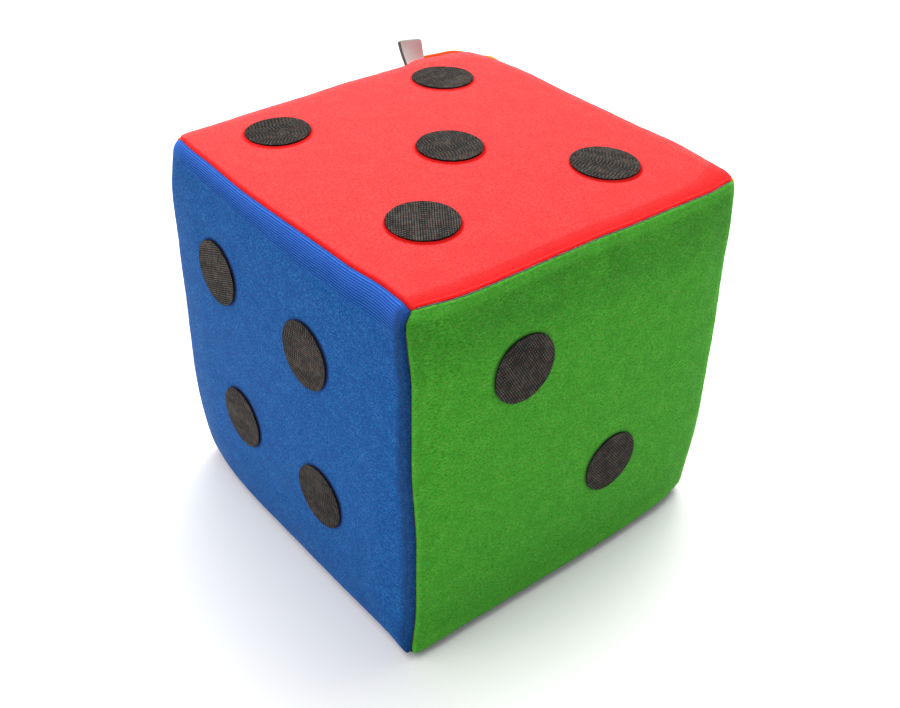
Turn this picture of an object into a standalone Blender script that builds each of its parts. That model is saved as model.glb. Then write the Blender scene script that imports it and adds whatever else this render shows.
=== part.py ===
"""Hook and loop activity cube.

A soft foam cube in a sewn cover of six loop-fabric panels. Round hook coins stick to the
panels like the dots of a dice and peel off. Metres, +Z up. The origin is on the floor,
under the middle of the cube.
"""

import math

import bmesh
import bpy
from mathutils import Vector

# Foam and cover
CUBE_EDGE = 0.1504  # between opposite faces, near their edges
FACE_SWELL = 0.0018  # how far the foam pushes out the middle of a face
COVER_THICKNESS = 0.0008
EDGE_RADIUS = 0.003  # outside of the bend along each edge
LIP_INNER_RADIUS = 0.0002  # how tightly a panel turns in at its seam
SEAM_ALLOWANCE = 0.005  # cloth turned in past the seam
FIT_GAP = 0.0003  # between pieces that touch

# How far each corner is drawn in, by the signs of x, y and z from the cube's middle
CORNER_TUCK = {
    (-1, -1, -1): 0.0002,
    (-1, -1, 1): 0.0,
    (-1, 1, -1): 0.0039,
    (-1, 1, 1): 0.0018,
    (1, -1, -1): 0.0025,
    (1, -1, 1): 0.0018,
    (1, 1, -1): 0.0018,
    (1, 1, 1): 0.0006,
}
TUCK_START = 0.3  # value of |x y z| / half edge cubed at which a corner begins to draw in

# Seam thread
THREAD_DIAMETER = 0.0004
THREAD_DEPTH = 0.0002  # thread's middle below the crests of the seam's two lips
THREAD_END_GAP = 0.0006  # left free at each corner, where three threads come together

# Hook coins
COIN_DIAMETER = 0.0254
COIN_BACKING = 0.0005  # woven tape on the outside
COIN_HOOKS = 0.0007  # field of hooks towards the cover, as far as it stands out of the loops
COIN_HOOK_MARGIN = 0.0004  # rim of the tape that has no hooks

# Coin middles on each face, along its right and up directions, as shares of half the cube's edge
COIN_PLACES = {
    "top": [(0.517, 0.706), (-0.568, 0.653), (-0.005, 0.005), (0.49, -0.554), (-0.552, -0.481)],
    "left": [(-0.526, 0.454), (0.248, 0.399), (-0.392, -0.367), (0.321, -0.409)],
    "front": [(-0.416, 0.508), (0.238, -0.361)],
    "right": [(-0.435, 0.415), (0.02, -0.015), (0.445, -0.43)],
    "back": [(-0.4, 0.5), (-0.41, 0.01), (-0.38, -0.49), (0.41, 0.49), (0.4, -0.01), (0.42, -0.5)],
    "bottom": [(0.0, 0.0)],
}

# Sewn-in label, a folded ribbon
LABEL_WIDTH = 0.012
LABEL_HEIGHT = 0.0125
LABEL_RIBBON = 0.00035
LABEL_OPENING = 0.0006  # between its two legs
LABEL_ALONG_SEAM = 0.041  # its middle, from the middle of the seam between top and back
LABEL_ROOT_LEAN = math.radians(35)  # from upright, at the seam
LABEL_TIP_LEAN = math.radians(14)  # from upright, at the fold

# Mesh fineness
FACE_SQUARES = 10  # across one face, of the cover and of the foam
BEND_STEPS = 2
LIP_STEPS = 3
COIN_SIDES = 24
THREAD_SIDES = 6
THREAD_STATIONS = 11
LABEL_LEG_STEPS = 4
LABEL_FOLD_STEPS = 6

HALF_EDGE = CUBE_EDGE / 2
BEND_CENTRE = HALF_EDGE - EDGE_RADIUS  # of the edge's bend, from the cube's middle, on two axes
LIP_RADIUS = LIP_INNER_RADIUS + COVER_THICKNESS
LIP_OFFSET = LIP_RADIUS + FIT_GAP / 2  # of the lip's middle from the plane between two panels
LIP_TO_BEND = EDGE_RADIUS - LIP_RADIUS
LIP_REACH = math.sqrt(LIP_TO_BEND**2 - LIP_OFFSET**2)
LIP_START = math.radians(45) - math.asin(LIP_OFFSET / LIP_TO_BEND)
LIP_END = math.radians(135)
LIP_CREST = LIP_REACH + LIP_RADIUS  # of the lips, from the bend's middle along the diagonal
DIAGONAL = math.sqrt(0.5)

COIN_RADIUS = COIN_DIAMETER / 2
COIN_THICKNESS = COIN_BACKING + COIN_HOOKS
RECESS_RADIUS = COIN_RADIUS + FIT_GAP  # in the bottom, where the cube's weight presses a coin in
RECESS_DEPTH = COIN_THICKNESS + FIT_GAP
DIMPLE_RADIUS = RECESS_RADIUS + COVER_THICKNESS
DIMPLE_DEPTH = RECESS_DEPTH + COVER_THICKNESS

# Each face's right and up directions, seen from outside
FACES = {
    "top": (Vector((1, 0, 0)), Vector((0, 1, 0))),
    "bottom": (Vector((1, 0, 0)), Vector((0, -1, 0))),
    "front": (Vector((1, 0, 0)), Vector((0, 0, 1))),
    "back": (Vector((-1, 0, 0)), Vector((0, 0, 1))),
    "left": (Vector((0, -1, 0)), Vector((0, 0, 1))),
    "right": (Vector((0, 1, 0)), Vector((0, 0, 1))),
}

# sRGB colours
PANEL_COLOURS = {
    "top": (0.98, 0.26, 0.25),
    "left": (0.15, 0.38, 0.70),
    "front": (0.23, 0.58, 0.15),
    "right": (0.98, 0.80, 0.16),
    "back": (0.96, 0.50, 0.12),
    "bottom": (0.45, 0.24, 0.58),
}
FOAM_COLOUR = (0.93, 0.91, 0.84)
COIN_COLOUR = (0.25, 0.25, 0.24)
THREAD_COLOUR = (0.35, 0.32, 0.32)
LABEL_COLOUR = (0.88, 0.86, 0.85)


def linear(colour):
    """Turn an sRGB colour into the linear one that a shader takes, with alpha."""
    levels = [c / 12.92 if c <= 0.04045 else ((c + 0.055) / 1.055) ** 2.4 for c in colour]
    return (*levels, 1.0)


def make_material(name, colour, roughness):
    material = bpy.data.materials.new(name)
    material.use_nodes = True
    shader = material.node_tree.nodes["Principled BSDF"]
    shader.inputs["Base Color"].default_value = linear(colour)
    shader.inputs["Roughness"].default_value = roughness
    shader.inputs["Metallic"].default_value = 0.0
    material.diffuse_color = linear(colour)
    return material


def add_object(name, mesh, material, location=(0, 0, 0)):
    for polygon in mesh.polygons:
        polygon.use_smooth = True
    mesh.set_sharp_from_angle(angle=math.radians(35))
    mesh.materials.append(material)
    piece = bpy.data.objects.new(name, mesh)
    piece.location = location
    bpy.context.scene.collection.objects.link(piece)
    return piece


def mesh_from(name, points, faces):
    """A closed mesh with all its faces turned outwards."""
    mesh = bpy.data.meshes.new(name)
    mesh.from_pydata(points, [], faces)
    shape = bmesh.new()
    shape.from_mesh(mesh)
    bmesh.ops.recalc_face_normals(shape, faces=shape.faces)
    shape.to_mesh(mesh)
    shape.free()
    return mesh


def settle(point):
    """Move a point of a true cube, given from its middle, to its place in the stuffed cube.

    The foam swells every face but the bottom, which lies flat, and the seams draw in the corners.
    """
    x, y, z = (c / HALF_EDGE for c in point)
    swell = FACE_SWELL / HALF_EDGE
    swell_up = swell if z > 0 else 0.0
    swollen = Vector(
        (
            x * (1 + swell * (1 - y * y) * (1 - z * z)),
            y * (1 + swell * (1 - x * x) * (1 - z * z)),
            z * (1 + swell_up * (1 - x * x) * (1 - y * y)),
        )
    )
    nearness = max(0.0, (abs(x * y * z) - TUCK_START) / (1 - TUCK_START))
    corner = tuple(1 if c > 0 else -1 for c in point)
    tuck = CORNER_TUCK[corner] / HALF_EDGE * nearness**2
    return swollen * HALF_EDGE * (1 - tuck) + Vector((0, 0, HALF_EDGE))


def on_face(face, across, along, height):
    """A point over a face: across and along its middle, at a height from the cube's middle."""
    right, up = FACES[face]
    return settle(right * across + up * along + right.cross(up) * height)


def edge_profile(depth, bend_steps, lip_steps):
    """Where a panel runs round its edge, into the seam and down the seam allowance.

    Each pair is how far a ring lies from the face's middle and its height from the cube's
    middle. depth is how far the skin lies under the panel's outside.
    """
    pairs = []
    for step in range(bend_steps):
        angle = LIP_START * step / bend_steps
        radius = EDGE_RADIUS - depth
        pairs.append((BEND_CENTRE + radius * math.sin(angle), BEND_CENTRE + radius * math.cos(angle)))
    lip_out = BEND_CENTRE + LIP_TO_BEND * math.sin(LIP_START)
    lip_up = BEND_CENTRE + LIP_TO_BEND * math.cos(LIP_START)
    for step in range(lip_steps + 1):
        angle = LIP_START + (LIP_END - LIP_START) * step / lip_steps
        radius = LIP_RADIUS - depth
        pairs.append((lip_out + radius * math.sin(angle), lip_up + radius * math.cos(angle)))
    out, up = pairs[-1]
    pairs.append((out - SEAM_ALLOWANCE * DIAGONAL, up - SEAM_ALLOWANCE * DIAGONAL))
    return pairs


def grid_share(line):
    """Where a grid line crosses a face, from -1 to 1. The lines lie closer towards the edges."""
    return math.sin(math.pi * (line / FACE_SQUARES - 0.5))


def rim_of_grid(count):
    """The grid places along a square's rim, counterclockwise from its lower left."""
    bottom = [(k, 0) for k in range(count)]
    right = [(count, k) for k in range(count)]
    top = [(count - k, count) for k in range(count)]
    left = [(0, count - k) for k in range(count)]
    return bottom + right + top + left


def panel_skin(face, depth, bend_steps, lip_steps, points, faces):
    """Add one side of a panel to points and faces, and return its last ring."""
    count = FACE_SQUARES
    profile = edge_profile(depth, bend_steps, lip_steps)
    grid = {}
    out, up = profile[0]
    for i in range(count + 1):
        for j in range(count + 1):
            grid[i, j] = len(points)
            points.append(on_face(face, grid_share(i) * out, grid_share(j) * out, up))
    for i in range(count):
        for j in range(count):
            faces.append((grid[i, j], grid[i + 1, j], grid[i + 1, j + 1], grid[i, j + 1]))
    rim = rim_of_grid(count)
    ring = [grid[place] for place in rim]
    for out, up in profile[1:]:
        next_ring = []
        for i, j in rim:
            next_ring.append(len(points))
            points.append(on_face(face, grid_share(i) * out, grid_share(j) * out, up))
        join_rings(ring, next_ring, faces)
        ring = next_ring
    return ring


def join_rings(ring, next_ring, faces):
    for k in range(len(ring)):
        after = (k + 1) % len(ring)
        faces.append((ring[k], next_ring[k], next_ring[after], ring[after]))


def make_panel(face):
    """One square of the cover: its face, its bend, its lip and the allowance turned in."""
    points = []
    faces = []
    outside = panel_skin(face, 0.0, BEND_STEPS, LIP_STEPS, points, faces)
    inside = panel_skin(face, COVER_THICKNESS, 1, 1, points, faces)
    join_rings(outside, inside, faces)
    name = "cover_panel_" + face
    material = make_material("loop_fabric_" + face, PANEL_COLOURS[face], 0.95)
    return add_object(name, mesh_from(name, points, faces), material)


def make_foam_core():
    """The foam block, a little smaller than the cover, with its edges cut off for the seams."""
    half = HALF_EDGE - COVER_THICKNESS - FIT_GAP
    allowance_end = LIP_REACH - SEAM_ALLOWANCE - FIT_GAP
    chamfer = 2 * (half - BEND_CENTRE) - allowance_end / DIAGONAL
    shape = bmesh.new()
    bmesh.ops.create_cube(shape, size=2 * half)
    bmesh.ops.bevel(shape, geom=shape.edges[:], offset=chamfer, segments=1, affect="EDGES")
    for axis in range(3):
        normal = Vector((0, 0, 0))
        normal[axis] = 1
        for line in range(1, FACE_SQUARES):
            everything = shape.verts[:] + shape.edges[:] + shape.faces[:]
            place = normal * grid_share(line) * (half - chamfer)
            bmesh.ops.bisect_plane(shape, geom=everything, plane_co=place, plane_no=normal)
    for vertex in shape.verts:
        vertex.co = settle(vertex.co)
    mesh = bpy.data.meshes.new("foam_core")
    shape.to_mesh(mesh)
    shape.free()
    return add_object("foam_core", mesh, make_material("foam", FOAM_COLOUR, 1.0))


def make_cutter(name, radius, low, high):
    """An upright cylinder round the bottom coin, between two heights above the floor."""
    across, along = COIN_PLACES["bottom"][0]
    middle = on_face("bottom", across * HALF_EDGE, along * HALF_EDGE, HALF_EDGE)
    shape = bmesh.new()
    bmesh.ops.create_cone(
        shape, cap_ends=True, segments=2 * COIN_SIDES, radius1=radius, radius2=radius, depth=high - low
    )
    mesh = bpy.data.meshes.new(name)
    shape.to_mesh(mesh)
    shape.free()
    cutter = bpy.data.objects.new(name, mesh)
    cutter.location = (middle.x, middle.y, (low + high) / 2)
    cutter.hide_render = True
    cutter.display_type = "WIRE"
    bpy.context.scene.collection.objects.link(cutter)
    return cutter


def combine(piece, cutter, operation):
    cut = piece.modifiers.new(cutter.name, "BOOLEAN")
    cut.operation = operation
    cut.solver = "EXACT"
    cut.object = cutter


def press_in_bottom_coin(panel, core):
    """Give the bottom panel a dimple that holds its coin flush, and the foam room for the dimple."""
    below_floor = -2 * COVER_THICKNESS
    dimple = make_cutter("dimple_outside", DIMPLE_RADIUS, COVER_THICKNESS / 2, DIMPLE_DEPTH)
    combine(panel, dimple, "UNION")
    recess = make_cutter("dimple_recess", RECESS_RADIUS, below_floor, RECESS_DEPTH)
    combine(panel, recess, "DIFFERENCE")
    pocket = make_cutter("foam_pocket", DIMPLE_RADIUS + FIT_GAP, below_floor, DIMPLE_DEPTH + FIT_GAP)
    combine(core, pocket, "DIFFERENCE")


def make_thread(name, along, sides):
    """The thread in one seam: along is the seam's axis, sides the signs of the other two."""
    reach = BEND_CENTRE + (LIP_CREST - THREAD_DEPTH) * DIAGONAL
    radius = THREAD_DIAMETER / 2
    others = [axis for axis in range(3) if axis != along]
    points = []
    faces = []
    ring = []
    for station in range(THREAD_STATIONS):
        share = 2 * station / (THREAD_STATIONS - 1) - 1
        next_ring = []
        for side in range(THREAD_SIDES):
            angle = 2 * math.pi * side / THREAD_SIDES
            offsets = (radius * math.cos(angle), radius * math.sin(angle))
            point = Vector((0, 0, 0))
            point[along] = share * (reach - THREAD_END_GAP)
            for axis, sign, offset in zip(others, sides, offsets):
                point[axis] = sign * reach + offset
            next_ring.append(len(points))
            points.append(settle(point))
        if ring:
            join_rings(ring, next_ring, faces)
        else:
            faces.append(tuple(next_ring))
        ring = next_ring
    faces.append(tuple(reversed(ring)))
    return add_object(name, mesh_from(name, points, faces), bpy.data.materials["sewing_thread"])


def make_threads():
    """Twelve seams, one along each edge of the cube."""
    make_material("sewing_thread", THREAD_COLOUR, 0.8)
    for side, sign in (("front", -1), ("back", 1)):
        make_thread("seam_thread_top_" + side, 0, (sign, 1))
        make_thread("seam_thread_bottom_" + side, 0, (sign, -1))
    for side, sign in (("left", -1), ("right", 1)):
        make_thread("seam_thread_top_" + side, 1, (sign, 1))
        make_thread("seam_thread_bottom_" + side, 1, (sign, -1))
        make_thread("seam_thread_front_" + side, 2, (sign, -1))
        make_thread("seam_thread_back_" + side, 2, (sign, 1))


def make_coin(face, number, across, along, sunk):
    """A hook coin: a field of hooks under a woven backing, bent to the panel it lies on.

    sunk is how far its outside lies below where it would be on top of the panel.
    """
    seat = HALF_EDGE + FIT_GAP - sunk
    hook_radius = COIN_RADIUS - COIN_HOOK_MARGIN
    levels = [
        (hook_radius, 0.0),
        (hook_radius, COIN_HOOKS),
        (COIN_RADIUS, COIN_HOOKS),
        (COIN_RADIUS, COIN_THICKNESS),
    ]
    origin = on_face(face, across, along, seat)
    points = [Vector((0, 0, 0)), on_face(face, across, along, seat + COIN_THICKNESS) - origin]
    faces = []
    rings = []
    for radius, height in levels:
        ring = []
        for side in range(COIN_SIDES):
            angle = 2 * math.pi * side / COIN_SIDES
            place = (across + radius * math.cos(angle), along + radius * math.sin(angle))
            ring.append(len(points))
            points.append(on_face(face, *place, seat + height) - origin)
        rings.append(ring)
    for lower, upper in zip(rings, rings[1:]):
        join_rings(lower, upper, faces)
    for side in range(COIN_SIDES):
        after = (side + 1) % COIN_SIDES
        faces.append((0, rings[0][side], rings[0][after]))
        faces.append((1, rings[-1][after], rings[-1][side]))
    name = f"hook_coin_{face}_{number}"
    return add_object(name, mesh_from(name, points, faces), bpy.data.materials["hook_tape"], origin)


def make_coins():
    make_material("hook_tape", COIN_COLOUR, 0.9)
    for face, places in COIN_PLACES.items():
        sunk = RECESS_DEPTH if face == "bottom" else 0.0
        for number, (across, along) in enumerate(places, start=1):
            make_coin(face, number, across * HALF_EDGE, along * HALF_EDGE, sunk)


def label_path():
    """Middle line of the folded ribbon: up one leg, round the fold and down the other.

    Each pair is a place across the label and a height along it, before the label leans.
    """
    apart = (LABEL_OPENING + LABEL_RIBBON) / 2
    leg = LABEL_HEIGHT - apart - LABEL_RIBBON / 2
    heights = [leg * step / LABEL_LEG_STEPS for step in range(LABEL_LEG_STEPS)]
    path = [(-apart, height) for height in heights]
    for step in range(LABEL_FOLD_STEPS + 1):
        angle = math.pi * step / LABEL_FOLD_STEPS
        path.append((-apart * math.cos(angle), leg + apart * math.sin(angle)))
    path += [(apart, height) for height in reversed(heights)]
    return path


def lean(across, height):
    """Bend a place on the upright label back over the seam. Returns its y and z from the root."""
    half_turn = (LABEL_TIP_LEAN - LABEL_ROOT_LEAN) * height / LABEL_HEIGHT / 2
    chord = height * (math.sin(half_turn) / half_turn if half_turn else 1)
    direction = LABEL_ROOT_LEAN + half_turn
    angle = direction + half_turn
    y = chord * math.sin(direction) + across * math.cos(angle)
    z = chord * math.cos(direction) - across * math.sin(angle)
    return y, z


def make_label():
    """A ribbon folded into a loop, its two ends in the seam between the top and back panels."""
    reach = BEND_CENTRE + (LIP_CREST + FIT_GAP) * DIAGONAL
    root = settle(Vector((LABEL_ALONG_SEAM, reach, reach)))
    middle = [Vector(lean(*place)) for place in label_path()]
    points = []
    faces = []
    ring = []
    for k, place in enumerate(middle):
        run = middle[min(k + 1, len(middle) - 1)] - middle[max(k - 1, 0)]
        out = Vector((-run.y, run.x)).normalized() * LABEL_RIBBON / 2
        corners = [(place + out, 1), (place + out, -1), (place - out, -1), (place - out, 1)]
        next_ring = []
        for (y, z), side in corners:
            next_ring.append(len(points))
            points.append(Vector((side * LABEL_WIDTH / 2, y, z)))
        if ring:
            join_rings(ring, next_ring, faces)
        else:
            faces.append(tuple(next_ring))
        ring = next_ring
    faces.append(tuple(reversed(ring)))
    material = make_material("label_ribbon", LABEL_COLOUR, 0.7)
    return add_object("sewn_label", mesh_from("sewn_label", points, faces), material, root)


def main():
    for old in list(bpy.data.objects):
        bpy.data.objects.remove(old)
    core = make_foam_core()
    panels = {face: make_panel(face) for face in FACES}
    press_in_bottom_coin(panels["bottom"], core)
    make_threads()
    make_coins()
    make_label()


main()
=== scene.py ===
"""Looks of the hook and loop activity cube.

Brushed loop cloth over foam, woven coins with their field of hooks, stitched seams and a
ribbon label, in a plain white studio. Metres, in the frame of the solids.
"""

import math

import bmesh
import bpy
import numpy as np
from mathutils import Matrix, Vector


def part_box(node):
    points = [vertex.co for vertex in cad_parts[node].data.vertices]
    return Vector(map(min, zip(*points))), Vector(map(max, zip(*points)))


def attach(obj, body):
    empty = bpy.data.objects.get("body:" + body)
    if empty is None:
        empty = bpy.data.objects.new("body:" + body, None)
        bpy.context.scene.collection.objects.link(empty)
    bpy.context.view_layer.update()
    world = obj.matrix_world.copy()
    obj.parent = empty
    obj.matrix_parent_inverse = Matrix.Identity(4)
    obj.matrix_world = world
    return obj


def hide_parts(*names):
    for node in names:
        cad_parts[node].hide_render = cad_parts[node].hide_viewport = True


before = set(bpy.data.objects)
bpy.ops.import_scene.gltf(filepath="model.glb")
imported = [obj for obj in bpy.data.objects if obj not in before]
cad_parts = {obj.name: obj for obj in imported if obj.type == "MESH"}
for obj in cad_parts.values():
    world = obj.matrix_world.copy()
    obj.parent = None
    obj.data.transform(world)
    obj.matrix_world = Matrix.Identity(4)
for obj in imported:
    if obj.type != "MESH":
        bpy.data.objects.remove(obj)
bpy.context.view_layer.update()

MM = 0.001

# Cube, with the same shape as the solids
CUBE_EDGE = 0.1504
HALF_EDGE = CUBE_EDGE / 2
FACE_SWELL = 0.0018
CLOTH_THICKNESS = 0.0008
SEAM_ALLOWANCE = 0.005
FIT_GAP = 0.0003
CORNERS = {  # how far each is drawn in, as in the solids, and how much the stuffing blunts it
    (-1, -1, -1): (0.0002, 0.0014),
    (-1, -1, 1): (0.0, 0.0003),
    (-1, 1, -1): (0.0039, 0.0008),
    (-1, 1, 1): (0.0018, 0.0007),
    (1, -1, -1): (0.0025, 0.0004),
    (1, -1, 1): (0.0018, 0.0008),
    (1, 1, -1): (0.0018, 0.0012),
    (1, 1, 1): (0.0006, 0.0010),
}
TUCK_START = 0.3  # nearness to a corner, from 0 to 1, at which it starts to be drawn in
BLUNT_START = 0.88  # the same for its blunt end

# Cloth: how it rolls over an edge and turns in at the seam
PILE = 0.00035  # of the loops, over the cloth's ground
ROLL_WIDTH = 0.0095
ROLL_DROP = 0.0005
ROLL_POWER = 2.2
RIDGE = 0.00025  # that the stuffing pushes up inside the roll
RIDGE_WIDTH = 0.016
PUFF = 0.0010  # of the cloth inside its edges, past the solids
PUFF_START = 0.003
PUFF_END = 0.022
LIP_RADIUS = 0.001  # of the ground, where the cloth turns into the seam
LIP_START = math.radians(9)
LIP_END = math.radians(135)
LIP_STEPS = 12
DIAGONAL = math.sqrt(0.5)

# Cloth: knitted ribs, which show where bending opens the loops
RIB_PITCH = 0.00088
RIB_HEIGHT = 0.00007

# Each face's cloth, and the cloths' colours in levels of 0 to 255: the pile, its hollows, its brightest
# loops and stray fibres; grooves in the pile, and the open ribs' crests and grooves. The hollows and
# brightest loops are mottled dye and also painted shade and painted glint on the pile's bumps; the
# grooves carry painted shade; the open ribs' colours are the knit and also painted shade and painted
# highlight of the bends
FACE_CLOTHS = {
    "top": "red", "bottom": "purple", "front": "green", "back": "orange", "left": "blue",
    "right": "yellow",
}
CLOTH_COLOURS = {
    "red": (
        (246, 76, 74), (232, 56, 58), (255, 100, 96), (218, 42, 50),
        (226, 32, 34), (252, 42, 40), (232, 14, 22),
    ),
    "blue": (
        (20, 98, 170), (8, 70, 138), (62, 140, 206), (56, 70, 158),
        (6, 58, 124), (72, 134, 236), (12, 66, 164),
    ),
    "green": (
        (84, 184, 52), (48, 140, 28), (112, 212, 82), (126, 124, 68),
        (48, 142, 32), (84, 160, 58), (62, 140, 42),
    ),
    "yellow": (
        (240, 190, 30), (226, 168, 14), (250, 208, 70), (206, 148, 28),
        (214, 154, 8), (246, 196, 34), (214, 146, 4),
    ),
    "orange": (
        (236, 116, 26), (218, 92, 14), (248, 142, 56), (200, 84, 30),
        (206, 82, 8), (244, 122, 30), (208, 76, 4),
    ),
    "purple": (
        (108, 54, 142), (88, 38, 120), (134, 82, 166), (102, 48, 96),
        (78, 32, 110), (122, 68, 166), (76, 30, 110),
    ),
}
SPECK_SHARES = {"red": 0.35}  # how much the stray fibres show, or 0.5 where not given
DEEPENINGS = {"red": 2.7}  # power that deepens and saturates the darkest painted shade, or 1.0 where not given

# Grid of each panel: close rows across the ribs near the seams, wider ones in the middle
FINE_STRIP = 0.0125
RIB_STEP = 0.00012
SIDE_STEP = 0.0004
ROW_STEP = 0.0007
COLUMN_STEP = 0.001

# Each face's right and up directions, seen from outside, as in the solids
FACES = {
    "top": ((1, 0, 0), (0, 1, 0)),
    "bottom": ((1, 0, 0), (0, -1, 0)),
    "front": ((1, 0, 0), (0, 0, 1)),
    "back": ((-1, 0, 0), (0, 0, 1)),
    "left": ((0, -1, 0), (0, 0, 1)),
    "right": ((0, 1, 0), (0, 0, 1)),
}

# Where the hand-sewn seams stray from straight and the stuffing bulges past them: the middle of
# a seam, which way its cloth strays, over how many millimetres round the seam, and how far in
# millimetres at places along the seam, from -1 at its low end to 1 at its high one
SEAM_STRAYS = [
    # Top seams: left, front, back and right
    (
        (-1, 0, 1), (-1, 0, -1), 13.0,
        ((-1, -0.3), (-0.88, -1.1), (-0.75, -1.3), (-0.5, -0.3), (0.25, 0.2), (0.75, -1.0), (1, -2.0)),
    ),
    (
        (0, -1, 1), (0, -1, -1), 13.0,
        ((-1, -1.2), (-0.7, 0.3), (0, 0.0), (0.25, 0.5), (0.75, 0.6), (1, -0.4)),
    ),
    (
        (0, 1, 1), (0, 1, 1), 7.5,
        ((-1, 0.0), (-0.3, 0.3), (0.1, 1.2), (0.46, 1.3), (0.56, 2.6), (0.79, 1.9), (0.92, 0.9),
         (1, -0.3)),
    ),
    (
        (1, 0, 1), (1, 0, 1), 7.5,
        ((-1, 0.4), (-0.9, 1.0), (-0.6, 1.2), (-0.3, 0.4), (0.2, 0.4), (0.55, 0.9), (0.8, 0.4),
         (1, -1.0)),
    ),
    # Upright seams: front left, its lower end once more, back left and front right
    (
        (-1, -1, 0), (1, -1, 0), 13.0,
        ((-1, 0.1), (-0.7, 1.4), (-0.3, 1.2), (0.25, -0.9), (0.6, -1.1), (0.91, -2.8), (1, -0.9)),
    ),
    ((-1, -1, 0), (-1, -1, 0), 9.0, ((-1, 2.4), (-0.85, 0.8), (-0.65, 0.0), (1, 0.0))),
    (
        (-1, 1, 0), (-1, 1, 0), 13.0,
        ((-1, 0.0), (0, 0.2), (0.4, 0.6), (0.75, 1.6), (0.92, 1.4), (1, 0.2)),
    ),
    (
        (1, -1, 0), (1, -1, 0), 13.0,
        ((-1, 0.1), (-0.5, 0.3), (0, 0.0), (0.5, -0.9), (0.8, -0.2), (1, 0.0)),
    ),
    # Bottom seams, which lift off the floor: front, left, back and right
    ((0, -1, -1), (0, -1, 0.73), 13.0, ((-1, 0.4), (-0.8, 3.1), (0, 3.8), (0.75, 3.2), (1, 0.2))),
    ((-1, 0, -1), (-1, 0, 1.5), 13.0, ((-1, 0.4), (-0.8, 2.2), (0, 2.4), (0.7, 1.9), (1, 0.0))),
    ((0, 1, -1), (0, 1, 0.4), 13.0, ((-1, 0.6), (0, 1.6), (1, 0.6))),
    ((1, 0, -1), (1, 0, 0.4), 13.0, ((-1, 0.6), (0, 1.6), (1, 0.6))),
]

# How each face looks along its right, left, upper and lower seams: how strongly the ribs show, how far
# bending opens the loops, how much painted shade darkens them (below 0, how much painted light makes
# them paler), and over how many millimetres
SEAM_LOOKS = {
    "top": ((0, 0, -0.5, 4.0), (0, 0, 0, 0.5), (0, 0, -0.5, 4.0), (0.95, 0.85, 0, 4.3)),
    "bottom": ((0.1, 0.4, 0.1, 4.0), (0.1, 0.4, 0.1, 4.0), (0.3, 0.6, 0.1, 6.0), (0.3, 0.6, 0.1, 6.0)),
    "front": ((0, 0, -0.3, 3.5), (0.05, 0.2, 0, 3.0), (0.15, 0.4, -0.35, 3.6), (0.1, 0.35, -0.25, 8.0)),
    "back": ((0.1, 0.5, 0.2, 4.0), (0.1, 0.5, 0.2, 4.0), (0.8, 0.9, 0, 9.5), (0.4, 0.6, 0.1, 6.0)),
    "left": ((0.3, 0.1, 0.5, 5.0), (0.05, 0.1, -0.12, 3.0), (1.0, 1.0, 0, 9.5), (0.2, 0.2, 0, 4.0)),
    "right": ((0.1, 0.5, 0.2, 4.0), (0.1, 0.5, 0.2, 4.0), (0.7, 0.8, 0, 8.5), (0.3, 0.6, 0.1, 5.0)),
}
COIN_SHADOWS = {  # mm along right and up that each coin's painted shadow is shifted away from the light, and how dark it is
    "top": (-0.9, -1.3, 0.4),
    "left": (0.9, 0.4, 0.75),
    "front": (-0.6, 0.5, 0.45),
}
COIN_SHADOW = (0.0, 0.0, 0.3)  # on the other faces
UPPER_DARK_STRIPS = {"front": 0.16}  # along the upper edge, how much darker the loops are
LIGHT_FALLOFFS = {"top": -0.15, "left": 0.07, "front": 0.04}  # painted light falloff: how much darker toward the upper edge
RIB_FADES = {  # mm from the right and left seams, between which the open ribs come up
    "left": ((0.5, 6.0), (0.0, 11.0)),
}
STRIP_TAPERS = {  # how much narrower the looks of the upper and lower seams get, to a side
    "left": (0.7, -1, -0.2),
    "top": (-0.6, 1, 0.6),
}

# Lips along some seams, past the even roll
LIP_PAINTED_LIGHT = {"top": 0.8}  # painted light on the lip along the lower seam, which lifts it out of its shade
OPEN_LIPS = {"top": 0.4}  # share of the way round the lip at which its loops are fully open; their deep colour also paints the lip's shade
LIP_LIFTS = {  # mm that upper lips reach over the red one, toward which side, from what share of it
    "front": (0.35, 0, -1.0),
    "back": (1.9, -1, 0.5),
    "right": (1.5, 1, 0.75),
}
LIFT_RISE = 0.12  # share of the side over which a lip comes up
PUCKER = 0.00012  # of the lips, between stitches
PUCKER_WIDTH = 0.0022

# Cloth's unevenness, from slack to loops: how high and how wide, in millimetres
CLOTH_WAVES = ((0.10, 19.0), (0.05, 6.0), (0.035, 1.9))
PATTERN_APART = 40.0  # mm from one panel's pattern to the next one's, so that no two are alike

# Bottom panel, pressed flat by the cube's weight, and foam
RESTING_PILE = -0.00003
UNDERSIDE_DEPTHS = {"bottom": 0.0022}  # past the cloth's thickness, for the coin pressed into it
FOAM_REACH = 0.0655

# Hook coins
COIN_RADIUS = 0.0127
COIN_SEATS = {  # mm that a face's coins stand over the cloth's ground, and press into the pile
    "top": (1.0, 0.45),
    "bottom": (-0.06, 1.45),
    "front": (1.05, 0.4),
    "back": (1.0, 0.45),
    "left": (1.35, 0.1),
    "right": (1.0, 0.45),
}
COIN_GRID = 130
COIN_SIZES = {  # of each coin, as no two are punched quite alike
    "top": (0.985, 0.965, 0.967, 0.99, 0.985),
    "left": (1.0, 1.015, 0.995, 1.01),
    "front": (1.02, 1.0),
}
COIN_TURNS = {  # degrees from the face's up direction to the yarns, for each coin
    "top": (100, 68, 81, 25, 144),
    "left": (113, 97, 100, 106),
    "front": (32, 40),
}
SPARE_TURNS = (28, 64, 8, 115, 41, 152)  # the same for the other faces' coins
SHADOW_FADE = 0.0014  # how far in from its rim a coin's painted shadow fades, seen once the coin is peeled
WEAVE_DEPTH = 0.00009
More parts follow.
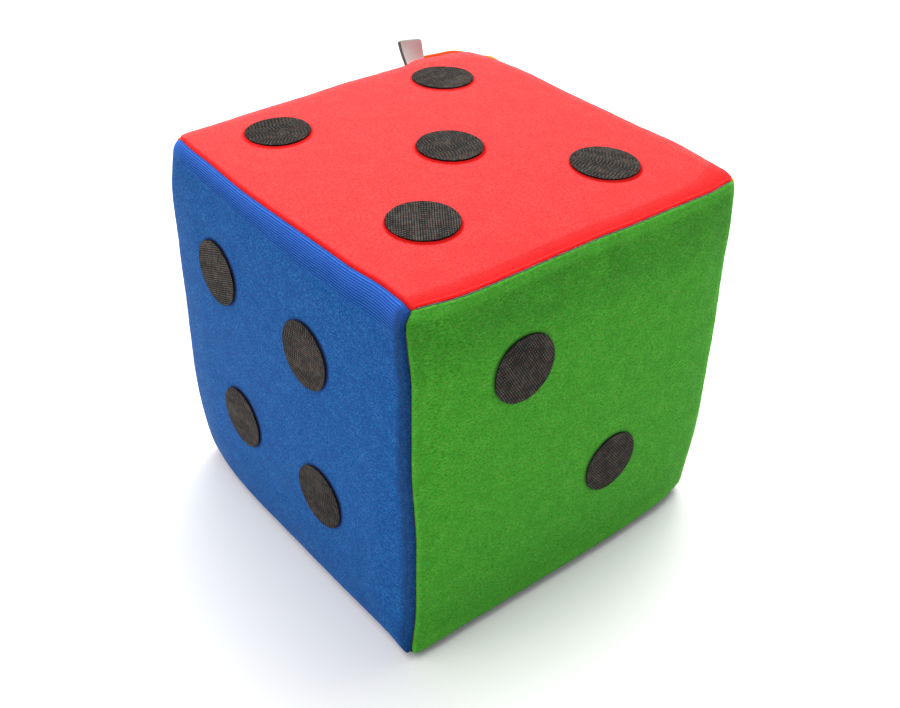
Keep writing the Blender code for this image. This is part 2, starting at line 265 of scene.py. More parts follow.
RIM_WEAR = 0.0001
COIN_WAVE = 0.00005
# Rings under a coin's rim: share of the radius, and mm under the coin's upper side
COIN_LEVELS = ((1.006, 0.18), (1.003, 0.38), (0.985, 0.5), (0.5, 0.5), (0.1, 0.5))
YARN_PITCH = 0.00086
FLOAT_LENGTH = 0.0013  # from one yarn crossing to the next
ZIGZAG_YARNS = 14
# Along the middle of a hook, mm forward and down
HOOK_PATH = ((0.0, 0.0), (0.02, 0.28), (0.06, 0.5), (0.2, 0.62), (0.36, 0.55), (0.4, 0.42))
HOOK_RADIUS = 0.00007
HOOK_PITCH = 0.0014
HOOK_STRAY = 0.0002
HOOK_INSET = 0.0009  # from the coin's rim
HOOK_ROOT = 0.00048  # under the coin's upper side
RIM_HOOKS = 64
RIM_HOOK_INSET = 0.00045
HOOK_SHADE = 0.15  # from the dark yarns to the light ones
TAPE_APART = 15.0  # mm from one coin's pattern to the next one's

# Stitches and label
SEAM_THREADS = {  # how deep each seam's thread lies under the lips, and how far it comes up, mm
    "top_front": (-0.2, 0.05),
    "top_left": (0.5, 0.05),
    "front_left": (0.45, 0.42),
}
SEAM_THREAD = (0.35, 0.2)  # the same for the other seams
STITCH = 0.0031
CLOSE_STITCHES = {"front_left": 0.00125}  # of the seam where the thread shows in small dots
THREAD_RADIUS = 0.00025
THREAD_SWAY = 0.0001
THREAD_STATIONS = 1000
THREAD_END_GAP = 0.0012
LABEL_WIDTH = 0.0098
LABEL_HEIGHT = 0.0112
LABEL_RIBBON = 0.00035
LABEL_OPENING = 0.0006  # between its two legs
LABEL_ALONG_SEAM = 0.042
EDGE_BEND = 0.003  # from the cube's true edge to the middle of its bend
LABEL_ROOT = 0.0008  # from there out, on two axes
LABEL_ROOT_LEAN = math.radians(35)
LABEL_TIP_LEAN = math.radians(16)
LABEL_TWIST = math.radians(18)  # of its fold, against the seam
LABEL_RIPPLE = 0.00009
FOLD_TAPER = 0.0013  # that the ribbon is drawn in by on each side at its fold
FOLD_REACH = 0.0014
LABEL_SHADE_EDGE = (-4.55, -4.3)  # mm across, between which the painted shade of the back leg behind its left edge ends

# Camera, from the middle of the cube
CAMERA_AZIMUTH = math.radians(-40.48)
CAMERA_ELEVATION = math.radians(35.65)
CAMERA_ROLL = math.radians(1.99)
CAMERA_DISTANCE = 0.4745
CAMERA_ASIDE = 0.00173
CAMERA_ABOVE = -0.01147
CAMERA_LENS = 47.45  # mm
CAMERA_SENSOR = 36  # mm wide

# Studio: where each soft light comes from, how strong it is and how narrow
OVERHEAD_LIGHT = ((0.48, 0.35, 1.0), 10.8, 12.8)
SIDE_LIGHT = ((-0.675, 0.11, 1.0), 3.5, 6.8)
FLOOR_REACH = 8.0
FLOOR_WHITE = 0.95
FLOOR_GLOW = 0.09  # which lights the picture, not the cube


def settle(points):
    """Move points of a true cube, given from its middle, to their places in the stuffed cube."""
    unit = np.asarray(points) / HALF_EDGE
    x, y, z = unit.T
    swell = FACE_SWELL / HALF_EDGE
    swell_up = np.where(z > 0, swell, 0.0)
    swollen = np.column_stack(
        (
            x * (1 + swell * (1 - y * y) * (1 - z * z)),
            y * (1 + swell * (1 - x * x) * (1 - z * z)),
            z * (1 + swell_up * (1 - x * x) * (1 - y * y)),
        )
    )
    tuck = np.zeros(len(unit))
    blunt = np.zeros(len(unit))
    for corner, (drawn_in, blunted) in CORNERS.items():
        here = np.all(unit * corner > 0, axis=1)
        tuck[here] = drawn_in / HALF_EDGE
        blunt[here] = blunted
    product = np.abs(x * y * z)
    nearness = np.clip((product - TUCK_START) / (1 - TUCK_START), 0, None)
    placed = swollen * HALF_EDGE * (1 - tuck * nearness**2)[:, None]
    largest = np.max(np.abs(unit), axis=1)
    blunt *= np.clip((product / largest**3 - BLUNT_START) / (1 - BLUNT_START), 0, None) ** 2
    placed -= (blunt / largest)[:, None] * unit
    placed = placed + seam_stray(unit) + (0, 0, HALF_EDGE)
    placed[:, 2] = np.maximum(placed[:, 2], 0)
    return placed


def seam_stray(unit):
    """How far points stray with the seams near them. They are given in half edges."""
    total = np.zeros_like(unit)
    for middle, direction, reach, strays in SEAM_STRAYS:
        axis = middle.index(0)
        places, amounts = (np.array(column, float) for column in zip(*strays))
        along = np.clip(unit[:, axis], -1, 1)
        before = np.clip(np.searchsorted(places, along) - 1, 0, len(places) - 2)
        share = smooth_step((along - places[before]) / (places[before + 1] - places[before]), 0, 1)
        stray = amounts[before] * (1 - share) + amounts[before + 1] * share
        others = [k for k in range(3) if k != axis]
        away = np.sum((unit[:, others] - np.array(middle)[others]) ** 2, axis=1)
        fade = np.exp(-away * (HALF_EDGE / MM / reach) ** 2)
        direction = np.array(direction) / np.linalg.norm(direction)
        total += (stray * fade * MM)[:, None] * direction
    return total


def on_face(face, across, along, height):
    """Points over a face: across and along its middle, at heights from the cube's middle."""
    right, up = (np.array(direction, float) for direction in FACES[face])
    out = np.cross(right, up)
    flat = np.multiply.outer(across, right) + np.multiply.outer(along, up)
    return settle(flat + np.multiply.outer(height, out))


def random_table(seed, size=97):
    return np.random.RandomState(seed).uniform(-1, 1, (size, size))


def unevenness(across, along, size, seed):
    """Smooth random values from -1 to 1, which change over about the given size."""
    table = random_table(seed)
    count = len(table)
    u = np.asarray(across) / size + 1000
    v = np.asarray(along) / size + 1000
    column = np.floor(u).astype(int)
    row = np.floor(v).astype(int)
    f = smooth_step(u - column, 0, 1)
    g = smooth_step(v - row, 0, 1)
    low = table[column % count, row % count] * (1 - f) + table[(column + 1) % count, row % count] * f
    high_left = table[column % count, (row + 1) % count]
    high_right = table[(column + 1) % count, (row + 1) % count]
    high = high_left * (1 - f) + high_right * f
    return low * (1 - g) + high * g


def smooth_step(value, start, end):
    share = np.clip((value - start) / (end - start), 0, 1)
    return share * share * (3 - 2 * share)


def add_object(name, data):
    thing = bpy.data.objects.new(name, data)
    bpy.context.scene.collection.objects.link(thing)
    return thing


def make_piece(name, points, faces, material, body, replaced, values=None):
    """A mesh object of the cube, with values for its material at each point."""
    mesh = bpy.data.meshes.new(name)
    mesh.from_pydata(np.asarray(points).tolist(), [], faces)
    mesh.polygons.foreach_set("use_smooth", [True] * len(mesh.polygons))
    for label, numbers in (values or {}).items():
        numbers = np.asarray(numbers, float)
        kind = "FLOAT" if numbers.ndim == 1 else "FLOAT_VECTOR"
        field = "value" if numbers.ndim == 1 else "vector"
        layer = mesh.attributes.new(label, kind, "POINT")
        layer.data.foreach_set(field, numbers.ravel())
    mesh.validate()
    mesh.materials.append(material)
    piece = add_object(name, mesh)
    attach(piece, body)
    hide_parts(replaced)
    return piece


def grid_faces(columns, rows, first=0):
    """Quads of a grid whose points run along its rows first."""
    i, j = np.meshgrid(np.arange(columns - 1), np.arange(rows - 1), indexing="ij")
    corner = (first + i * rows + j).ravel()
    quads = np.column_stack((corner, corner + rows, corner + rows + 1, corner + 1))
    return quads.tolist()


def grid_rim(columns, rows):
    """The points around the edge of such a grid, in order."""
    index = np.arange(columns * rows).reshape(columns, rows)
    return np.concatenate((index[:-1, 0], index[-1, :-1], index[:0:-1, -1], index[0, :0:-1]))


def ring_faces(ring, next_ring):
    after = np.roll(ring, -1)
    next_after = np.roll(next_ring, -1)
    return np.column_stack((ring, next_ring, next_after, after)).tolist()


def skirt_faces(rim, first, rings):
    """Faces from a grid's rim through rings of points, and one that closes the last ring."""
    faces = []
    ring = rim
    for number in range(rings):
        next_ring = first + number * len(rim) + np.arange(len(rim))
        faces += ring_faces(ring, next_ring)
        ring = next_ring
    faces.append(ring.tolist())
    return faces


# Cloth panels


def grid_lines(reach, fine_step, coarse_step):
    """Places of grid lines across a panel, closer together in the strips along its edges."""
    inner = reach - FINE_STRIP
    fine = np.linspace(-reach, -inner, round(FINE_STRIP / fine_step) + 1)
    coarse = np.linspace(-inner, inner, round(2 * inner / coarse_step) + 1)
    return np.concatenate((fine[:-1], coarse, -fine[-2::-1]))


def lip_middle():
    """Middle of the lip's bend: how far from the face's middle and how high."""
    up = HALF_EDGE - ROLL_DROP + RIDGE - LIP_RADIUS * math.cos(LIP_START)
    offset = LIP_RADIUS + FIT_GAP / 2
    return up - offset / DIAGONAL, up


def lip_profile(depth, steps):
    """Rings of the lip and of the allowance turned in, each how far out and how high."""
    out, up = lip_middle()
    pairs = []
    for step in range(1, steps + 1):
        angle = LIP_START + (LIP_END - LIP_START) * step / steps
        radius = LIP_RADIUS - depth
        pairs.append((out + radius * math.sin(angle), up + radius * math.cos(angle)))
    end_out, end_up = pairs[-1]
    inwards = SEAM_ALLOWANCE * DIAGONAL
    pairs.append((end_out - inwards, end_up - inwards))
    return pairs


def coin_centres(face):
    """Middles of the coins on a face, along its right and up directions, from the solids."""
    right, up = (np.array(direction, float) for direction in FACES[face])
    found = []
    for node in sorted(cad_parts):
        if node.startswith(f"hook_coin_{face}_"):
            low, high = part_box(node)
            middle = np.array((low + high) / 2) - (0, 0, HALF_EDGE)
            found.append((node, middle @ right, middle @ up))
    return found


def painted_coin_shadows(face, across, along):
    """Painted shadow round the face's coins, from 0 to 1, most at their rims and shifted away from the
    light.
    """
    aside = COIN_SHADOWS.get(face, COIN_SHADOW)
    total = np.zeros_like(across)
    for _node, coin_across, coin_along in coin_centres(face):
        away = np.hypot(across - coin_across - aside[0] * MM, along - coin_along - aside[1] * MM)
        press_and_shadow = 1 - smooth_step(away, COIN_RADIUS - 0.2 * MM, COIN_RADIUS + 1.1 * MM)
        from_rim = COIN_RADIUS - 1.0 * MM - np.hypot(across - coin_across, along - coin_along)
        total += press_and_shadow * (1 - 0.85 * smooth_step(from_rim, 0, SHADOW_FADE))
    return total


def seam_looks(face, across, along, reach, seed):
    """How strongly ribs show, how far the loops are open, and how much painted shade darkens them, from
    0 to 1, or how much painted light makes them paler, below 0."""
    drift = unevenness(across, along, 8 * MM, seed) + 0.5 * unevenness(across, along, 3 * MM, seed + 1)
    ribs = np.zeros_like(across)
    opened = np.zeros_like(across)
    shade = np.zeros_like(across)
    from_seams = (reach - across, reach + across, reach - along, reach + along)
    narrower, side, start = STRIP_TAPERS.get(face, (0.0, 1, 0.0))
    narrowing = 1 + narrower * smooth_step(side * across / reach, start, 1)
    tapers = (1, 1, narrowing, narrowing)
    for distance, taper, strip in zip(from_seams, tapers, SEAM_LOOKS[face]):
        rib_share, open_share, dark, width = strip
        from_seam = distance / MM * taper + 0.08 * width * drift
        near = np.clip(1 - from_seam / (1.15 * width), 0, 1)
        rib_share = rib_share * (0.72 + 0.28 * smooth_step(from_seam, 1.0, 5.0))
        ribs = np.maximum(ribs, rib_share * (1 - smooth_step(from_seam, 0.8 * width, 1.05 * width)))
        opened = np.maximum(opened, open_share * near)
        shade += dark * smooth_step(near, 0, 0.8)
    for distance, fade in zip(from_seams, RIB_FADES.get(face, ())):
        risen = smooth_step(distance / MM + drift, *fade)
        ribs *= risen
        opened *= 1 - 0.7 * (1 - risen) * smooth_step((reach - along) / MM, 2.5, 6.0)
    near_edge = 1 - smooth_step((reach - along) / MM + 2 * drift, 12, 32)
    shade += UPPER_DARK_STRIPS.get(face, 0.0) * near_edge * (1 + 0.4 * drift)
    # Painted light falloff across the face
    shade += LIGHT_FALLOFFS.get(face, 0.0) * along / reach
    # Painted shadow round the coins, which also deepens their colour
    coin_shadow_shares = painted_coin_shadows(face, across, along)
    shade += COIN_SHADOWS.get(face, COIN_SHADOW)[2] * coin_shadow_shares
    return np.column_stack((ribs, np.maximum(opened, coin_shadow_shares), shade))


def cloth_relief(face, across, along, reach, seed):
    """Height of the cloth over its even surface: slack, loops, open ribs and pressed places."""
    height = np.zeros_like(across)
    for step, (high, wide) in enumerate(CLOTH_WAVES):
        height += high * MM * unevenness(across, along, wide * MM, seed + step)
    in_fine_strip = 1 - smooth_step(reach - np.abs(along), FINE_STRIP - 1.5 * MM, FINE_STRIP)
    rib_share = seam_looks(face, across, along, reach, seed + 3)[:, 0] * in_fine_strip
    height += RIB_HEIGHT * np.cos(2 * math.pi * along / RIB_PITCH) * rib_share
    press_and_shadow = COIN_SEATS[face][1] * MM
    past_rim = 1.3 * MM if face == "bottom" else 0.0
    for _node, coin_across, coin_along in coin_centres(face):
        from_rim = np.hypot(across - coin_across, along - coin_along) - COIN_RADIUS - past_rim
        height -= press_and_shadow * (1 - smooth_step(from_rim, -1.6 * MM, -0.1 * MM))
    return height


def panel_drop(across, along, reach):
    """How far the rolled edges lie under the face, with a low ridge inside them."""
    across_share = np.clip((np.abs(across) - reach) / ROLL_WIDTH + 1, 0, 1) ** ROLL_POWER
    along_share = np.clip((np.abs(along) - reach) / ROLL_WIDTH + 1, 0, 1) ** ROLL_POWER
    roll = 1 - (1 - across_share) * (1 - along_share)
    start = reach - ROLL_WIDTH
    across_ridge = smooth_step(np.abs(across), start - RIDGE_WIDTH, start)
    along_ridge = smooth_step(np.abs(along), start - RIDGE_WIDTH, start)
    ridge = 1 - (1 - across_ridge) * (1 - along_ridge)
    return ROLL_DROP * roll - RIDGE * ridge


def puff(face, across, along):
    """How far the stuffing pushes the cloth out inside its edges. The bottom lies flat."""
    if face == "bottom":
        return np.zeros_like(across)
    in_across = smooth_step(HALF_EDGE - np.abs(across), PUFF_START, PUFF_END)
    in_along = smooth_step(HALF_EDGE - np.abs(along), PUFF_START, PUFF_END)
    return PUFF * in_across * in_along


def panel_profile(face, pile, reach):
    """Rings past a panel's rim: round the lip, into the seam and back along the underside. Each
    is how far out, how high, and its share of the way round the lip."""
    profile = []
    for step, (out, up) in enumerate(lip_profile(-pile, LIP_STEPS), start=1):
        profile.append((out, up, step / LIP_STEPS))
    for out, up in reversed(lip_profile(CLOTH_THICKNESS, 3)):
        profile.append((out, up, 2))
    inner = HALF_EDGE - CLOTH_THICKNESS - UNDERSIDE_DEPTHS.get(face, 0.0)
    for share in (1, 0.5):
        profile.append(((reach - ROLL_WIDTH) * share, inner, 2))
    return profile


def lip_lift(face, across, on_upper_seam, reach):
    """How far the upper lip reaches over the next panel's, at places around the rim."""
    lift, side, start = LIP_LIFTS.get(face, (0.0, 0, -1.0))
    place = side * across / reach
    rise = lift * MM * smooth_step(place, start, start + LIFT_RISE) * on_upper_seam
    return rise * (1 - 0.5 * smooth_step(place, 0.85, 1.0))


def panel_rings(face, number, across, along, relief, looks, reach, pile):
    """Points past a panel's rim, ring by ring, with their places in the cloth and their looks.
    What is given is the rim's own."""
    on_side = np.abs(across) >= np.abs(along)
    seam_place = np.where(on_side, along, across)
    side_number = number + 0.5 * on_side
    pucker = PUCKER * unevenness(seam_place, 9 * MM * side_number, PUCKER_WIDTH, 10 * number + 4)
    lift = lip_lift(face, across, ~on_side & (along > 0), reach)
    # Painted light on the lip along the lower seam
    looks[:, 2] -= LIP_PAINTED_LIGHT.get(face, 0.0) * (~on_side & (along < 0))
    rings = []
    travelled = 0.0
    last = (reach, HALF_EDGE + pile - ROLL_DROP + RIDGE)
    for out, up, share in panel_profile(face, pile, reach):
        travelled += math.hypot(out - last[0], up - last[1])
        last = (out, up)
        shrink = out / reach
        bulge = max(0, math.sin(math.pi * min(share, 1)))
        height = up + relief * max(0, 1 - share) + pucker * bulge
        points = on_face(face, across * shrink, along * shrink + lift * bulge, height)
        stretch = (reach + travelled) / reach
        cloth = np.column_stack((across * stretch, along * stretch, 0 * across))
        ring_looks = looks.copy()
        if face in OPEN_LIPS:
            opened = smooth_step(np.array(share), 0.0, OPEN_LIPS[face])
            ring_looks[:, 1] = np.maximum(looks[:, 1], opened)
        rings.append((points, cloth, ring_looks))
    return rings


def make_panel(face, number, material):
    """One square of the cover: its face, rolled edges, lips and the allowance turned in."""
    seed = 10 * number
    pile = PILE if face != "bottom" else RESTING_PILE
    reach = lip_middle()[0] + (LIP_RADIUS + pile) * math.sin(LIP_START)
    columns = grid_lines(reach, SIDE_STEP, COLUMN_STEP)
    rows = grid_lines(reach, RIB_STEP, ROW_STEP)
    across, along = (grid.ravel() for grid in np.meshgrid(columns, rows, indexing="ij"))
    relief = cloth_relief(face, across, along, reach, seed)
    level = HALF_EDGE + pile - panel_drop(across, along, reach) + puff(face, across, along)
    if face == "bottom":
        relief = np.minimum(relief, 0)
        level = np.minimum(level, HALF_EDGE + pile)
    looks = seam_looks(face, across, along, reach, seed + 3)
    rim = grid_rim(len(columns), len(rows))
    cloth = np.column_stack((across, along, 0 * across))
    rings = [(on_face(face, across, along, level + relief), cloth, looks)]
    rings += panel_rings(face, number, across[rim], along[rim], relief[rim], looks[rim], reach, pile)
    points, cloth, looks = (np.concatenate(column) for column in zip(*rings))
    faces = grid_faces(len(columns), len(rows)) + skirt_faces(rim, len(across), len(rings) - 1)
    cloth /= MM
    cloth[:, 2] = PATTERN_APART * number
    panel = make_piece(
        f"loop_cloth_{face}", points, faces, material, "cube", f"cover_panel_{face}",
        {"cloth": cloth, "looks": looks},
    )


def make_foam():
    """The block of foam inside, its edges cut back to make room for the seam allowances."""
    points = []
    for face in FACES:
        lines = np.linspace(-FOAM_REACH, FOAM_REACH, 9)
        across, along = (grid.ravel() for grid in np.meshgrid(lines, lines, indexing="ij"))
        depth = CLOTH_THICKNESS + UNDERSIDE_DEPTHS.get(face, 0.0) + FIT_GAP
        points.append(on_face(face, across, along, HALF_EDGE - depth))
    shell = bmesh.new()
    for point in np.concatenate(points):
        shell.verts.new(point)
    hull = bmesh.ops.convex_hull(shell, input=shell.verts)
    left_over = set(hull["geom_unused"] + hull["geom_interior"])
    bmesh.ops.delete(shell, geom=list(left_over), context="VERTS")
    mesh = bpy.data.meshes.new("foam_filling")
    shell.to_mesh(mesh)
    shell.free()
    recipe = Recipe(bpy.data.materials.new("pale_foam"))
    grain = recipe.noise(recipe.node("ShaderNodeTexCoord").outputs["Object"], 0.0015, 3.0)
    base = recipe.mix(recipe.spread(grain, 0.3, 0.7), colour(214, 208, 188), colour(238, 234, 220))
    mesh.materials.append(recipe.finish(base, 0.9, recipe.bump(grain, 0.5, 0.0005)))
    foam = add_object("foam_filling", mesh)
    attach(foam, "cube")
    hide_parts("foam_core")


# Hook coins


def disc_grid(count):
    """A grid of points that fills a disc of radius 1, from a square one."""
    lines = np.linspace(-1, 1, count)
    u, v = (grid.ravel() for grid in np.meshgrid(lines, lines, indexing="ij"))
    return u * np.sqrt(1 - v * v / 2), v * np.sqrt(1 - u * u / 2)


def tape_weave(a, b, seed):
    """How high and how bright each place of the woven backing is, from 0 to 1."""
    a = a + 0.12 * MM * unevenness(a, b, 3.1 * MM, seed)
    yarn = np.round(a / YARN_PITCH)
    crest = 0.62 + 0.38 * np.cos(2 * math.pi * (a / YARN_PITCH - yarn))
    zigzag = np.abs((yarn + 60) % ZIGZAG_YARNS - ZIGZAG_YARNS / 2)
    table = random_table(seed)
    own = table[yarn.astype(int) % len(table), 0]
    step = b / FLOAT_LENGTH + 0.27 * zigzag + 0.4 * own + 0.15 * unevenness(a, b, 5 * MM, seed + 1)
    over = 0.5 + 0.5 * np.cos(2 * math.pi * step)
    loose = 0.75 + 0.25 * unevenness(a, b, 1.1 * MM, seed + 4)
    bold = 0.6 + 0.4 * unevenness(a, 0.3 * b, 2.6 * MM, seed + 5)
    return crest * (1 - bold + bold * over) * loose


def hook_tubes(places, turns, first):
    """Small hooks that reach down from the backing. Gives offsets from it and their faces."""
    points = []
    faces = []
    for (a, b), turn in zip(places, turns):
        side = (math.cos(turn), math.sin(turn))
        ring = []
        for forward, down in HOOK_PATH:
            next_ring = []
            for k in range(4):
                angle = math.pi * (0.25 + 0.5 * k)
                wide = HOOK_RADIUS * math.cos(angle)
                high = HOOK_RADIUS * math.sin(angle)
                along_hook = forward * MM + high
                x = a + side[0] * along_hook - side[1] * wide
                y = b + side[1] * along_hook + side[0] * wide
                next_ring.append(first + len(points))
                points.append((x, y, -down * MM))
            if ring:
                faces += ring_faces(np.array(ring), np.array(next_ring))
            ring = next_ring
        faces.append(ring)
    return points, faces


def hook_places(draw):
    """Where a coin's hooks stand and which way they turn: rows inside, and a ring at the rim."""
    places = []
    for row in np.arange(-COIN_RADIUS, COIN_RADIUS, HOOK_PITCH):
        for column in np.arange(-COIN_RADIUS, COIN_RADIUS, HOOK_PITCH):
            place = np.array((column, row)) + draw.uniform(-HOOK_STRAY, HOOK_STRAY, 2)
            if math.hypot(*place) < COIN_RADIUS - HOOK_INSET:
                places.append(place)
    around = 2 * math.pi * np.arange(RIM_HOOKS) / RIM_HOOKS
    radius = COIN_RADIUS - RIM_HOOK_INSET
    places += [(radius * math.cos(angle), radius * math.sin(angle)) for angle in around]
    turns = draw.uniform(0, 2 * math.pi, len(places))
    turns[-RIM_HOOKS:] = around + math.pi / 2
    return places, turns


def coin_places(size, seed):
    """Places in a coin that isn't punched quite round, and how far in from its rim they are."""
    x, y = disc_grid(COIN_GRID)
    angle = np.arctan2(y, x)
    ragged = size * (1 + 0.006 * unevenness(angle * 9 * MM, 0 * angle, 1.1 * MM, seed))
    ragged *= 1 + 0.008 * unevenness(np.cos(angle) * 9 * MM, np.sin(angle) * 9 * MM, 6 * MM, seed + 3)
    return x * COIN_RADIUS * ragged, y * COIN_RADIUS * ragged, 1 - np.hypot(x, y)


def make_coin(node, face, across, along, number, material):
    """A disc punched from hook tape: a woven backing and the hooks under it."""
    seed = 500 + 7 * number
    place = int(node.split("_")[-1]) - 1
    turns = COIN_TURNS.get(face, SPARE_TURNS)
    turn = math.radians(turns[place % len(turns)])
    sizes = COIN_SIZES.get(face, (1.0,))
    x, y, from_rim = coin_places(sizes[place % len(sizes)], seed)
    a = x * math.cos(turn) + y * math.sin(turn)
    b = y * math.cos(turn) - x * math.sin(turn)
    weave = tape_weave(a, b, seed)
    near_edge = 1 - smooth_step(from_rim, 0, 0.03)
    outside = HALF_EDGE + COIN_SEATS[face][0] * MM
    height = outside - WEAVE_DEPTH * (1 - weave) - RIM_WEAR * near_edge**2
    height += COIN_WAVE * unevenness(x, y, 7 * MM, seed + 2)
    height += puff(face, across + x, along + y)
    points = [on_face(face, across + x, along + y, height)]

    rim = grid_rim(COIN_GRID, COIN_GRID)
    for share, down in COIN_LEVELS:
        ring_across = across + x[rim] * share
        ring_along = along + y[rim] * share
        level = outside - down * MM + puff(face, ring_across, ring_along)
        points.append(on_face(face, ring_across, ring_along, level))
    backing = len(x) + len(COIN_LEVELS) * len(rim)

    hooks, hook_faces = hook_tubes(*hook_places(np.random.RandomState(seed)), backing)
    hooks = np.array(hooks) + (across, along, outside - HOOK_ROOT)
    hooks[:, 2] += puff(face, hooks[:, 0], hooks[:, 1])
    points.append(on_face(face, *hooks.T))
    faces = grid_faces(COIN_GRID, COIN_GRID) + skirt_faces(rim, len(x), len(COIN_LEVELS))

    shades = np.zeros(backing + len(hooks))
    shades[: len(x)] = weave
    shades[backing:] = HOOK_SHADE
    tape = np.zeros((len(shades), 3))
    tape[: len(x), :2] = np.column_stack((a, b)) / MM
    tape[:, 2] = TAPE_APART * number
    make_piece(
        node.replace("hook_coin", "woven_coin"), np.concatenate(points), faces + hook_faces, material,
        node.replace("hook_coin", "coin"), node, {"weave": shades, "tape": tape},
    )


def hook_tape():
    """Dark nylon tape with pale and rust-brown yarns."""
    recipe = Recipe(bpy.data.materials.new("woven_hook_tape"))
    place = recipe.value("tape", vector=True)
    weave = recipe.value("weave")
    rust = recipe.noise(recipe.stretched(place, (1.0, 0.55, 1.0)), 0.75, 1.0)
    patches = recipe.noise(place, 5.0, 1.0)
    light = recipe.mix(recipe.spread(patches, 0.35, 0.65), colour(92, 96, 92), colour(106, 101, 92))
    rusty = recipe.spread(rust, 0.52, 0.62, 0.0, 0.85)
    light = recipe.mix(rusty, light, colour(124, 74, 52))
    base = recipe.mix(recipe.spread(weave, 0.18, 0.82), colour(9, 9, 10), light)
    fibre = recipe.noise(place, 0.3, 1.0)
    base = recipe.mix(recipe.spread(fibre, 0.4, 0.8, 0.0, 0.35), base, colour(30, 28, 27))
    normal = recipe.bump(fibre, 0.3, 0.0001)
    return recipe.finish(base, 0.75, normal, Specular_IOR_Level=0.15)


def make_coins():
    material = hook_tape()
    coins = [(face, *coin) for face in FACES for coin in coin_centres(face)]
    for number, (face, node, across, along) in enumerate(coins, start=1):
        make_coin(node, face, across, along, number, material)


# Seams and label


def tube(middle, radius, sides=8):
    """Points and faces of a round tube along a line of points."""
    middle = np.asarray(middle)
    run = np.gradient(middle, axis=0)
    run /= np.linalg.norm(run, axis=1)[:, None]
    level = np.cross(run, (0.31, 0.52, 0.8))
    level /= np.linalg.norm(level, axis=1)[:, None]
    upright = np.cross(run, level)
    radius = np.broadcast_to(radius, len(middle))
    points = []
    faces = []
    for k in range(len(middle)):
        for side in range(sides):
            angle = 2 * math.pi * side / sides
            offset = math.cos(angle) * level[k] + math.sin(angle) * upright[k]
            points.append(middle[k] + radius[k] * offset)
    for k in range(len(middle) - 1):
        ring = np.arange(sides) + k * sides
        faces += ring_faces(ring, ring + sides)
    faces.append(list(range(sides)))
    faces.append([len(points) - 1 - k for k in range(sides)])
    return points, faces


def make_thread(node, axis, signs, material):
    """Stitches along one seam. The thread lies deep between the lips and comes up once a stitch."""
    out, up = lip_middle()
    crest = (up + out) / 2 + LIP_RADIUS * DIAGONAL
    along = np.linspace(-1, 1, THREAD_STATIONS) * (crest - THREAD_END_GAP)
    seam = node.replace("seam_thread_", "")
    under, comes_up = SEAM_THREADS.get(seam, SEAM_THREAD)
    stitch = CLOSE_STITCHES.get(seam, STITCH)
    rise = np.maximum(np.cos(2 * math.pi * along / stitch), 0) ** 2
    depth = (under - comes_up * rise) * MM
    points = np.zeros((len(along), 3))
    points[:, axis] = along
    others = [k for k in range(3) if k != axis]
    for k, sign in zip(others, signs):
        points[:, k] = sign * (crest - depth)
    sway = THREAD_SWAY * unevenness(along, 0 * along, 2.3 * MM, 900 + axis)
    points[:, others[0]] += sway * signs[0]
    points[:, others[1]] -= sway * signs[1]
    thread, faces = tube(settle(points), THREAD_RADIUS * (0.8 + 0.2 * rise))
    name = node.replace("seam_thread", "stitches")
    make_piece(name, thread, faces, material, "cube", node)


def thread_material(name, thread, shade, patch=0.0006):
    recipe = Recipe(bpy.data.materials.new(name))
    place = recipe.node("ShaderNodeTexCoord").outputs["Object"]
    twist = recipe.noise(place, patch, 1.0)
    base = recipe.mix(recipe.spread(twist, 0.35, 0.65), shade, thread)
    return recipe.finish(base, 0.6, recipe.bump(twist, 0.5, 0.0001), Specular_IOR_Level=0.3)


def make_threads():
    pale = thread_material("pale_grey_thread", colour(118, 118, 116), colour(84, 84, 84))
    dark = thread_material("dark_crimson_thread", colour(96, 22, 34), colour(40, 10, 20))
    rust = thread_material("rust_brown_thread", colour(150, 48, 50), colour(28, 18, 28), patch=0.0016)
    for side, sign in (("front", -1), ("back", 1)):
        make_thread("seam_thread_top_" + side, 0, (sign, 1), pale)
        make_thread("seam_thread_bottom_" + side, 0, (sign, -1), pale)
    for side, sign in (("left", -1), ("right", 1)):
        make_thread("seam_thread_top_" + side, 1, (sign, 1), dark)
        make_thread("seam_thread_bottom_" + side, 1, (sign, -1), dark)
        make_thread("seam_thread_front_" + side, 2, (sign, -1), rust)
        make_thread("seam_thread_back_" + side, 2, (sign, 1), rust)


def lean(across, height):
    """Bend a place on the upright label back over the seam. Returns its y and z from the root."""
    half_turn = (LABEL_TIP_LEAN - LABEL_ROOT_LEAN) * height / LABEL_HEIGHT / 2
    chord = height * math.sin(half_turn) / half_turn if half_turn else height
    direction = LABEL_ROOT_LEAN + half_turn
    angle = direction + half_turn
    y = chord * math.sin(direction) + across * math.cos(angle)
    z = chord * math.cos(direction) - across * math.sin(angle)
    return y, z


def label_line():
    """Middle line of the folded ribbon, up one leg, round the fold and down the other."""
    apart = (LABEL_OPENING + LABEL_RIBBON) / 2
    leg = LABEL_HEIGHT - apart - LABEL_RIBBON / 2
    heights = np.linspace(0, leg, 24)[:-1]
    turns = np.linspace(0, math.pi, 13)
    line = [(-apart, height) for height in heights]
    line += [(-apart * math.cos(turn), leg + apart * math.sin(turn)) for turn in turns]
    line += [(apart, height) for height in heights[::-1]]
    return line


